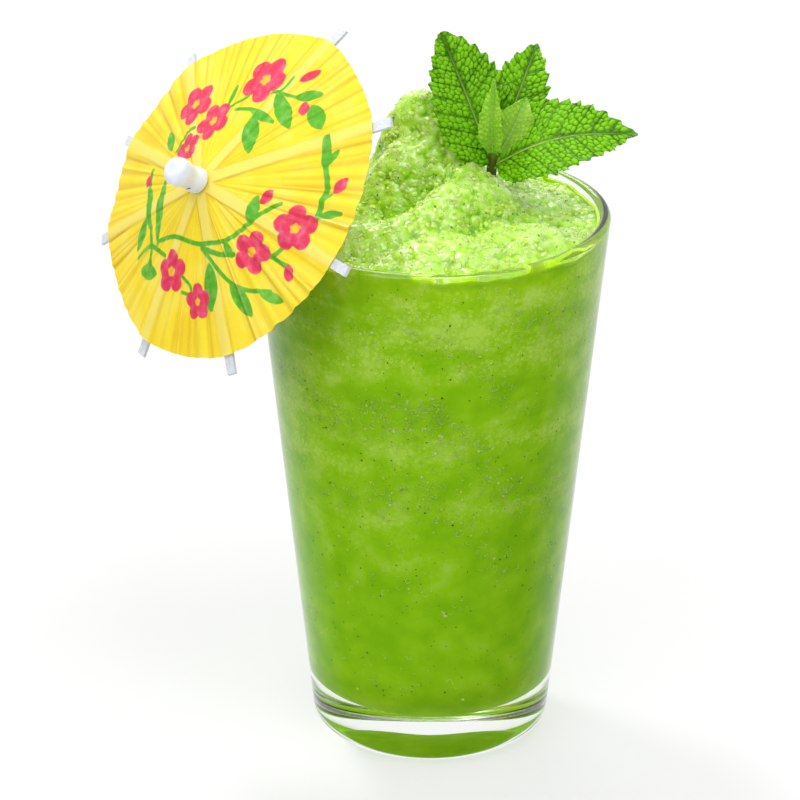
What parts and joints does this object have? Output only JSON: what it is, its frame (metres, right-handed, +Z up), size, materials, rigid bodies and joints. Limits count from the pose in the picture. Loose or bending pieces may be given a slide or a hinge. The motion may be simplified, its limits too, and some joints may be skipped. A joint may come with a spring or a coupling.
{
  "type": "frozen mint cocktail in a tall tumbler",
  "caption": "Bright green frozen mint drink heaped above the rim of a conical glass tumbler, with a mint sprig and an open paper cocktail umbrella.",
  "frame": {"origin": "centre of the ring that the glass stands on, on the table plane", "axes": "+Z up along the glass's axis; the umbrella leans towards -X and a little towards -Y, and the mint sprig is on the +X side; the front, seen by a viewer, faces -Y"},
  "size_m": [0.1301, 0.0928, 0.1837],
  "materials": {
    "glass": "clear polished pressed glass",
    "slush": "wet crushed lime ice",
    "paper": "printed crinkled tissue paper",
    "card": "white pressed card strip",
    "wood": "pale birch stick",
    "white_plastic": "moulded white plastic",
    "leaf": "fresh mint leaf",
    "young_leaf": "young mint leaf",
    "stem": "purple brown mint stem"
  },
  "bodies": {
    "root": {"glass": "glass", "slush": "slush", "canopy": "paper", "stick": "wood", "finial": "white_plastic", "crown": "white_plastic", "runner": "white_plastic", "stop": "white_plastic", "stem": "stem", "leaf_left": "leaf", "leaf_back": "leaf", "leaf_right": "leaf", "leaf_young_left": "young_leaf", "leaf_young_right": "young_leaf", "rib_1": "card", "strut_1": "card", "rib_2": "card", "strut_2": "card", "rib_3": "card", "strut_3": "card", "rib_4": "card", "strut_4": "card", "rib_5": "card", "strut_5": "card", "rib_6": "card", "strut_6": "card", "rib_7": "card", "strut_7": "card", "rib_8": "card", "strut_8": "card"}
  },
  "joints": []
}
